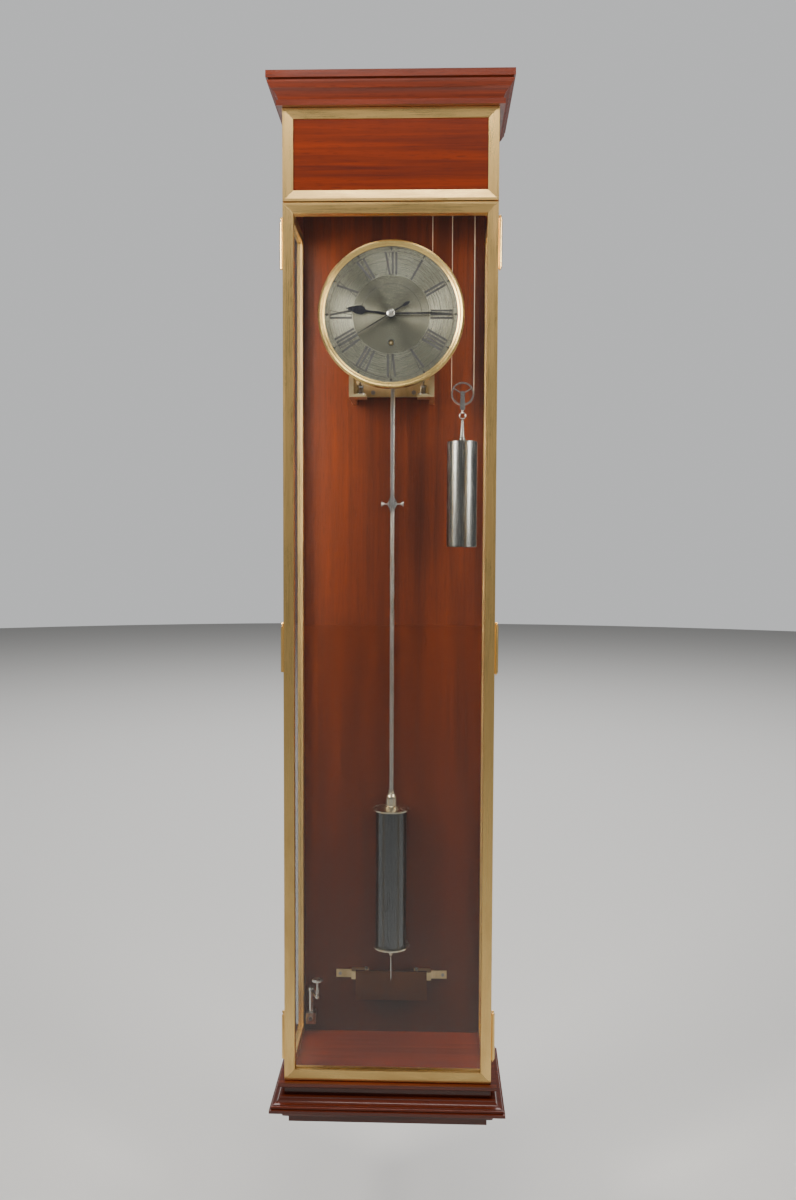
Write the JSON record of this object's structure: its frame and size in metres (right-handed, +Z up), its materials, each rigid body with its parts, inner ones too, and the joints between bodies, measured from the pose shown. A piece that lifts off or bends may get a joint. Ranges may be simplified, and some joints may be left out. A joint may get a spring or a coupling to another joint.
{
  "type": "wall regulator clock",
  "caption": "Tall wall-hung regulator clock with a seconds pendulum, a driving weight on a pulley and a glazed brass-framed case with wooden cornice and plinth.",
  "frame": {"origin": "centre of the hanging hole, on the wall", "axes": "+Z up, +X to the right seen from the front, +Y into the wall; the dial faces -Y"},
  "size_m": [0.39, 0.223, 1.706],
  "materials": {
    "mahogany_board": "satin",
    "mahogany_polished": "gloss",
    "frame_brass": "brushed",
    "bracket_brass": "satin",
    "movement_brass": "polished",
    "bezel_brass": "polished",
    "pale_brass": "polished",
    "silvered": "circular brushed",
    "copper_brown": "brushed",
    "steel": "satin",
    "polished_steel": "polished",
    "nickel": "polished",
    "blued_steel": "polished",
    "line": "matte",
    "glass": "clear"
  },
  "bodies": {
    "case": {"back_board": "mahogany_board", "cornice": "mahogany_polished", "plinth_mouldings": "mahogany_polished", "plinth_carcase": "mahogany_polished", "floor_board": "mahogany_board", "head_panels": "mahogany_board", "frieze_frame": "frame_brass", "side_frames": "frame_brass", "side_glasses": "glass", "case_knuckles": "frame_brass", "hinge_pins": "frame_brass", "hanging_plate": "steel", "movement_bracket": "bracket_brass", "mounting_screws": "steel", "levelling_screws": "polished_steel", "back_plate": "movement_brass", "front_plate": "movement_brass", "movement_pillars": "movement_brass", "suspension_cock": "bracket_brass", "dial_plate": "silvered", "dial_bezel": "bezel_brass", "head_bracket": "bracket_brass", "line_run": "line", "line_falls": "line", "beat_plate": "copper_brown", "beat_plate_brackets": "bracket_brass", "crank_holder": "bracket_brass"},
    "door": {"door_frame": "frame_brass", "door_glass": "glass", "door_knuckles": "frame_brass"},
    "latch_top": {"latch_pin_top": "frame_brass"},
    "latch_middle": {"latch_pin_middle": "frame_brass"},
    "latch_bottom": {"latch_pin_bottom": "frame_brass"},
    "escape_arbor": {"escape_wheel": "movement_brass", "seconds_hand": "blued_steel", "centre_nut": "polished_steel"},
    "third_arbor": {"third_wheel": "movement_brass"},
    "centre_arbor": {"centre_wheel": "movement_brass"},
    "barrel": {"great_wheel": "movement_brass", "winding_drum": "movement_brass"},
    "idler": {"motion_idler": "movement_brass"},
    "minute_pipe": {"minute_wheel": "movement_brass", "minute_hand": "blued_steel"},
    "hour_pipe": {"hour_wheel": "movement_brass", "hour_hand": "blued_steel"},
    "driving_weight": {"weight": "polished_steel", "pulley_stirrup": "nickel", "line_loop": "line"},
    "weight_sheave": {"weight_pulley": "nickel"},
    "jockey": {"jockey_pulley": "movement_brass"},
    "head_sheave": {"head_pulley": "movement_brass"},
    "pendulum": {"pendulum_rod": "polished_steel", "suspension_spring": "steel", "beat_fitting": "polished_steel", "bob_shell": "polished_steel", "bob_fittings": "pale_brass"},
    "anchor": {"pallets": "steel", "crutch": "steel"},
    "rating": {"rating_nut": "polished_steel"},
    "crank": {"winding_crank": "polished_steel"}
  },
  "joints": [
    {"name": "weight_fall", "type": "slide", "parent": "case", "child": "driving_weight", "axis": [0, 0, -1], "range_m": [-0.171, 0.737], "deforming": ["line_falls"]},
    {"name": "seconds_turn", "type": "hinge", "parent": "case", "child": "escape_arbor", "pos_m": [0, -0.082, -0.242], "axis": [0, 1, 0], "continuous": true},
    {"name": "third_turn", "type": "hinge", "parent": "case", "child": "third_arbor", "pos_m": [0.02231, -0.088, -0.2474], "axis": [0, 1, 0], "continuous": true},
    {"name": "centre_turn", "type": "hinge", "parent": "case", "child": "centre_arbor", "pos_m": [0.04151, -0.095, -0.26638], "axis": [0, 1, 0], "continuous": true},
    {"name": "barrel_turn", "type": "hinge", "parent": "case", "child": "barrel", "pos_m": [0, -0.1, -0.288], "axis": [0, 1, 0], "range_deg": [-4700, 1095]},
    {"name": "idler_turn", "type": "hinge", "parent": "case", "child": "idler", "pos_m": [0.03104, -0.124, -0.23667], "axis": [0, 1, 0], "continuous": true},
    {"name": "minute_turn", "type": "hinge", "parent": "case", "child": "minute_pipe", "pos_m": [0, -0.124, -0.242], "axis": [0, 1, 0], "continuous": true},
    {"name": "hour_turn", "type": "hinge", "parent": "case", "child": "hour_pipe", "pos_m": [0, -0.129, -0.242], "axis": [0, 1, 0], "continuous": true},
    {"name": "weight_sheave_turn", "type": "hinge", "parent": "driving_weight", "child": "weight_sheave", "pos_m": [0.12025, -0.0895, -0.3634], "axis": [0, 1, 0], "continuous": true},
    {"name": "jockey_turn", "type": "hinge", "parent": "case", "child": "jockey", "pos_m": [0.0579, -0.0895, -0.296], "axis": [0, 1, 0], "continuous": true},
    {"name": "head_sheave_turn", "type": "hinge", "parent": "case", "child": "head_sheave", "pos_m": [0.0846, -0.0895, -0.02], "axis": [0, 1, 0], "continuous": true},
    {"name": "pendulum_swing", "type": "hinge", "parent": "case", "child": "pendulum", "pos_m": [0, -0.06, -0.212], "axis": [0, 1, 0], "range_deg": [-2, 2]},
    {"name": "anchor_rock", "type": "hinge", "parent": "case", "child": "anchor", "pos_m": [0, -0.07, -0.212], "axis": [0, 1, 0], "range_deg": [-2.02, 2.02]},
    {"name": "rating_turn", "type": "hinge", "parent": "pendulum", "child": "rating", "pos_m": [0, -0.06, -1.352], "axis": [0, 0, 1], "continuous": true},
    {"name": "door_swing", "type": "hinge", "parent": "case", "child": "door", "pos_m": [0.1755, -0.1818, -0.7908], "axis": [0, 0, 1], "range_deg": [0, 110]},
    {"name": "latch_top_lift", "type": "slide", "parent": "case", "child": "latch_top", "axis": [0, 0, 1], "range_m": [0, 0.036]},
    {"name": "latch_middle_lift", "type": "slide", "parent": "case", "child": "latch_middle", "axis": [0, 0, 1], "range_m": [0, 0.036]},
    {"name": "latch_bottom_lift", "type": "slide", "parent": "case", "child": "latch_bottom", "axis": [0, 0, 1], "range_m": [0, 0.036]},
    {"name": "crank_lift", "type": "slide", "parent": "case", "child": "crank", "axis": [0, 0, 1], "range_m": [0, 0.025]}
  ],
  "couplings": [
    {"joint": "seconds_turn", "follows": "weight_fall", "rad_per_m": 80000},
    {"joint": "third_turn", "follows": "weight_fall", "rad_per_m": -10667},
    {"joint": "centre_turn", "follows": "weight_fall", "rad_per_m": 1333.3},
    {"joint": "barrel_turn", "follows": "weight_fall", "rad_per_m": -111.11},
    {"joint": "idler_turn", "follows": "weight_fall", "rad_per_m": -666.67},
    {"joint": "minute_turn", "follows": "weight_fall", "rad_per_m": 1333.3},
    {"joint": "hour_turn", "follows": "weight_fall", "rad_per_m": 111.11},
    {"joint": "weight_sheave_turn", "follows": "weight_fall", "rad_per_m": -52.77},
    {"joint": "jockey_turn", "follows": "weight_fall", "rad_per_m": -200},
    {"joint": "head_sheave_turn", "follows": "weight_fall", "rad_per_m": 119.76},
    {"joint": "anchor_rock", "follows": "pendulum_swing", "ratio": 1}
  ]
}
